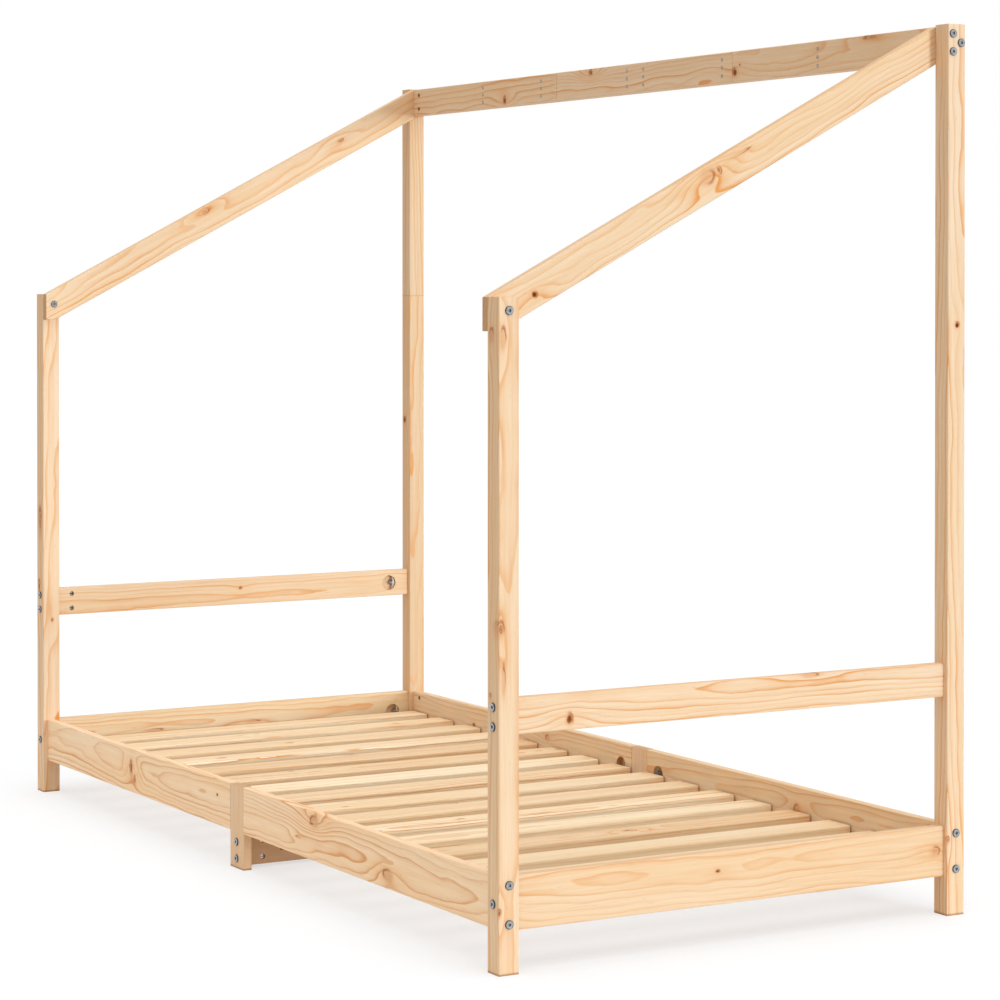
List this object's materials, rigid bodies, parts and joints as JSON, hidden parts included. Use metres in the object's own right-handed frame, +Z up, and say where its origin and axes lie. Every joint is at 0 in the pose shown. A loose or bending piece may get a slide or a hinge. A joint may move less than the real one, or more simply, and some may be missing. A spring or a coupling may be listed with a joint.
{
  "type": "house frame bed",
  "caption": "Pine child's bed with a slatted base and a half-house frame: low posts on one side, tall posts with a ridge beam on the other, and a sloping rafter at each end.",
  "frame": {"origin": "middle of the footprint on the floor", "axes": "+Z up, +Y from the near end to the far end along the bed, +X from the low posts to the tall posts"},
  "size_m": [0.965, 2.063, 1.589],
  "materials": {
    "post_pine": "planed and clear lacquered pine",
    "rail_pine": "planed and clear lacquered pine",
    "leg_pine": "planed and clear lacquered pine",
    "roof_pine": "planed and clear lacquered pine",
    "slat_pine": "planed pine",
    "ledger_pine": "planed pine",
    "beech": "fluted beech dowel",
    "zinc_steel": "bright zinc-plated steel"
  },
  "bodies": {
    "root": {"low_post_near": "post_pine", "low_post_far": "post_pine", "tall_post_near": "post_pine", "tall_post_far": "post_pine", "side_rail_left_near": "rail_pine", "side_rail_left_far": "rail_pine", "side_rail_right_near": "rail_pine", "side_rail_right_far": "rail_pine", "mid_leg_left": "leg_pine", "mid_leg_right": "leg_pine", "cross_beam": "leg_pine", "end_rail_near": "rail_pine", "end_rail_far": "rail_pine", "guard_rail_near": "rail_pine", "guard_rail_far": "rail_pine", "ridge_front": "roof_pine", "ridge_back_near": "roof_pine", "ridge_back_far": "roof_pine", "rafter_near": "roof_pine", "rafter_far": "roof_pine", "ledger_left_near": "ledger_pine", "ledger_left_far": "ledger_pine", "ledger_right_near": "ledger_pine", "ledger_right_far": "ledger_pine", "slat_01": "slat_pine", "slat_02": "slat_pine", "slat_03": "slat_pine", "slat_04": "slat_pine", "slat_05": "slat_pine", "slat_06": "slat_pine", "slat_07": "slat_pine", "slat_08": "slat_pine", "slat_09": "slat_pine", "slat_10": "slat_pine", "slat_11": "slat_pine", "slat_12": "slat_pine", "slat_13": "slat_pine", "slat_14": "slat_pine", "slat_15": "slat_pine", "slat_16": "slat_pine", "side_rail_bolts": "zinc_steel", "side_rail_barrel_nuts": "zinc_steel", "half_moon_washers": "zinc_steel", "hex_nuts": "zinc_steel", "mid_leg_studs": "zinc_steel", "end_rail_bolts": "zinc_steel", "guard_rail_bolts": "zinc_steel", "guard_rail_barrel_nuts": "zinc_steel", "cross_beam_bolts": "zinc_steel", "cross_beam_barrel_nuts": "zinc_steel", "ridge_bolts": "zinc_steel", "ridge_barrel_nuts": "zinc_steel", "rafter_bolts": "zinc_steel", "rafter_sleeve_nuts": "zinc_steel", "end_rail_dowels": "beech"}
  },
  "joints": []
}
